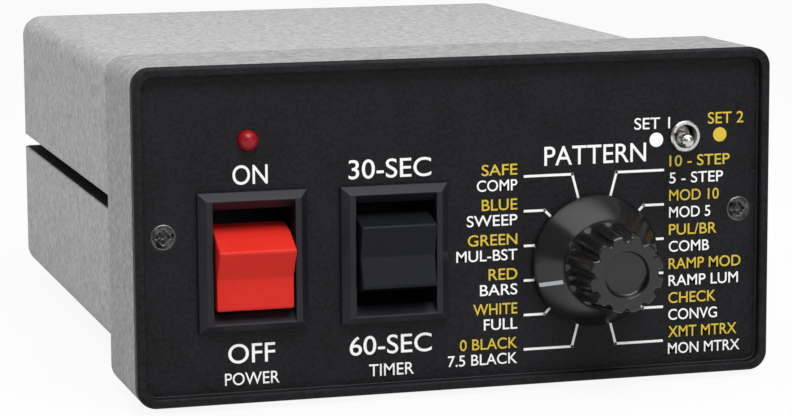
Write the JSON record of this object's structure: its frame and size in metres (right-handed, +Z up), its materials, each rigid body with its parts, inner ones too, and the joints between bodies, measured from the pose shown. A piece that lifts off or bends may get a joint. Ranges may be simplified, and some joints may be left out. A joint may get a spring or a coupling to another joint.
{
  "type": "video test signal generator",
  "caption": "Compact bench signal generator: grey two-half case with a front collar, black control panel, rocker switches, rotary selector and mini toggle.",
  "frame": {"origin": "middle of the footprint, on the surface that the four rubber feet stand on", "axes": "+Z up, front panel facing -Y, +X to the right when looking at the front panel"},
  "size_m": [0.1306, 0.192, 0.0672],
  "materials": {
    "grey_case": "fine moulded texture, satin grey",
    "black_panel": "fine leathery texture, black",
    "black_nylon": "satin black nylon",
    "black_gloss": "smooth black plastic",
    "red_plastic": "smooth bright red plastic",
    "red_plastic_dull": "dull red moulding",
    "red_lens": "tinted red epoxy lens",
    "white_plastic": "white insulator",
    "foot_rubber": "soft black rubber",
    "steel": "zinc-plated steel",
    "dark_steel": "black-finished steel, worn on its edges",
    "nickel": "bright nickel plate",
    "aluminium": "turned aluminium",
    "brass": "brass, tinned or bare",
    "green_board": "green solder mask on glass-epoxy",
    "blue_sleeve": "dark blue shrink sleeve"
  },
  "bodies": {
    "root": {"top_cover": "grey_case", "bottom_case": "grey_case", "case_screws": "steel", "rubber_feet": "foot_rubber", "front_collar": "grey_case", "front_panel": "black_panel", "panel_screws": "dark_steel", "power_switch_body": "black_nylon", "timer_switch_body": "black_nylon", "power_switch_blades": "brass", "timer_switch_blades": "brass", "rocker_pins": "steel", "selector_bushing": "brass", "selector_body": "black_nylon", "selector_tags": "brass", "selector_nut": "nickel", "selector_washer": "nickel", "toggle_bushing": "nickel", "toggle_body": "red_plastic_dull", "toggle_nut": "nickel", "led_lamp": "red_lens", "led_holder": "black_nylon", "rear_panel": "black_panel", "video_barrels": "nickel", "video_nuts": "nickel", "video_insulators": "white_plastic", "video_contacts": "brass", "power_jack": "black_nylon", "power_jack_nut": "nickel", "power_jack_pin": "nickel", "circuit_board": "green_board", "board_screws": "steel", "logic_chips": "black_nylon", "memory_chip": "black_nylon", "crystal_can": "nickel", "smoothing_capacitors": "blue_sleeve", "voltage_regulator": "black_nylon"},
    "power_rocker": {"power_rocker": "red_plastic"},
    "timer_rocker": {"timer_rocker": "black_gloss"},
    "selector": {"selector_knob": "black_gloss", "knob_set_screw": "steel", "selector_shaft": "aluminium"},
    "toggle_lever": {"toggle_lever": "nickel"}
  },
  "joints": [
    {"name": "power_switch", "type": "hinge", "parent": "root", "child": "power_rocker", "pos_m": [-0.0419, -0.0678, 0.029], "axis": [-1, 0, 0], "range_deg": [0, 28]},
    {"name": "timer_switch", "type": "hinge", "parent": "root", "child": "timer_rocker", "pos_m": [-0.0134, -0.0678, 0.029], "axis": [-1, 0, 0], "range_deg": [-14, 14]},
    {"name": "selector_turn", "type": "hinge", "parent": "root", "child": "selector", "pos_m": [0.02835, -0.079, 0.0255], "axis": [0, 1, 0], "range_deg": [-60, 270]},
    {"name": "toggle_throw", "type": "hinge", "parent": "root", "child": "toggle_lever", "pos_m": [0.0475, -0.074, 0.0497], "axis": [0, 0, 1], "range_deg": [0, 26]}
  ]
}
